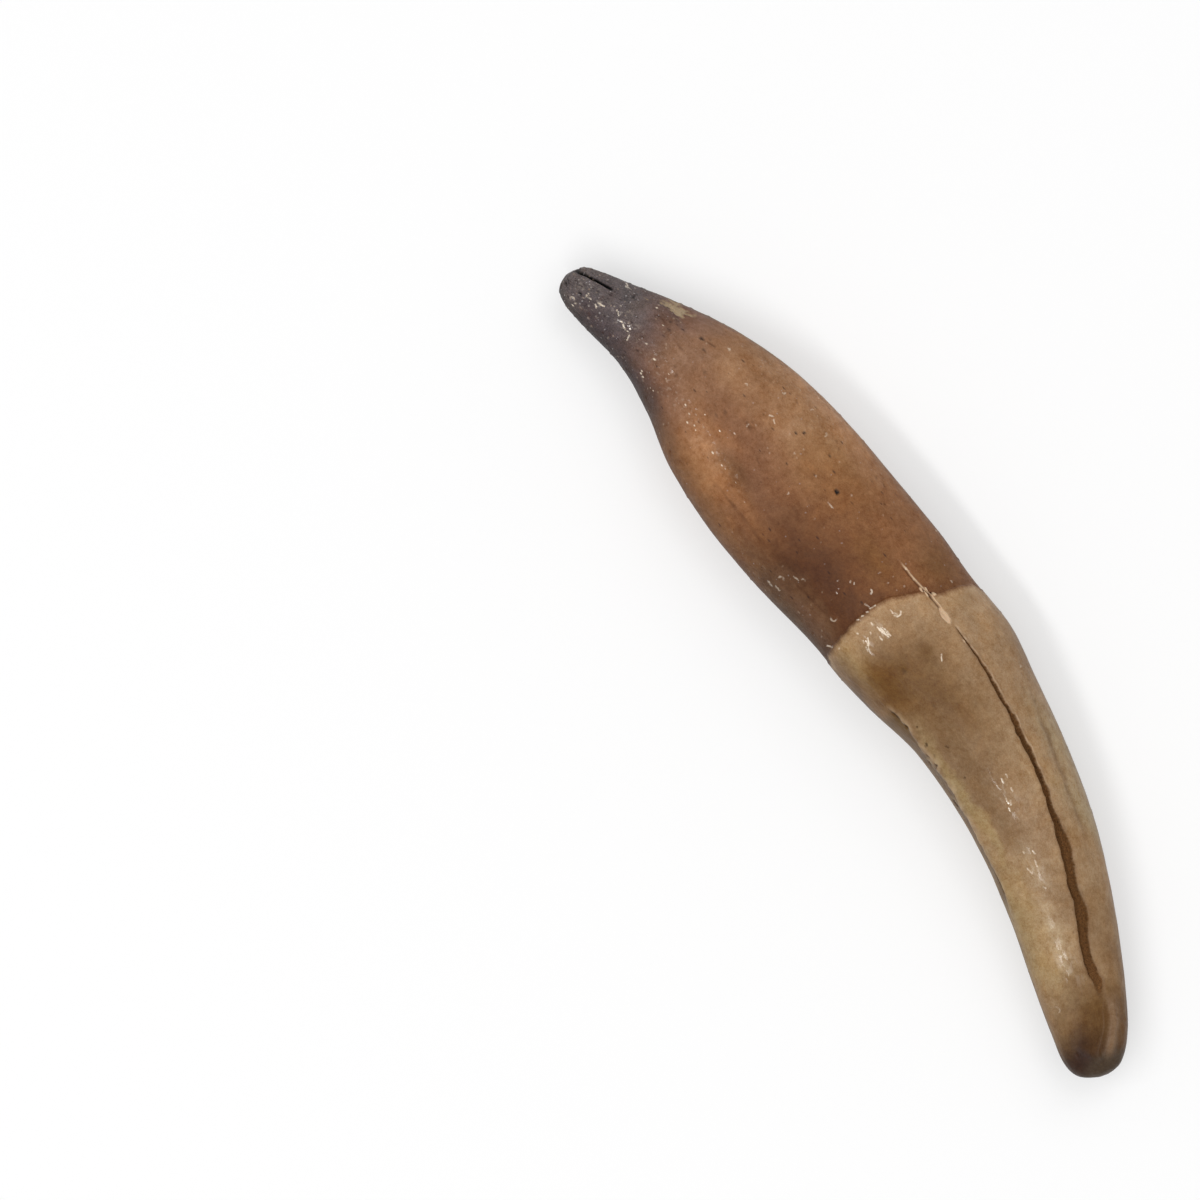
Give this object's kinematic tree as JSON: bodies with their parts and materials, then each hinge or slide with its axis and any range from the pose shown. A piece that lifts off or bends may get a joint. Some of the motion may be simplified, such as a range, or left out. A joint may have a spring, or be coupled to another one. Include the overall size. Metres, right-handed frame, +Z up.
{
  "type": "fossil seal tooth",
  "caption": "Long curved fossil canine of a seal: smooth crown with a lengthwise crack, stained tapering root, lying on its side.",
  "frame": {"origin": "middle of the tooth's box in plan, on the surface that it lies on", "axes": "+X along the straight line from the root end to the crown tip, +Y to the convex side, +Z up from the surface, out of the face with the crack"},
  "size_m": [0.0608, 0.0128, 0.0081],
  "materials": {
    "fossil_tooth": "waxy mineral surface: tan enamel crown, reddish brown root that turns dark grey at its end, brown crack"
  },
  "bodies": {
    "root": {"tooth": "fossil_tooth"}
  },
  "joints": []
}
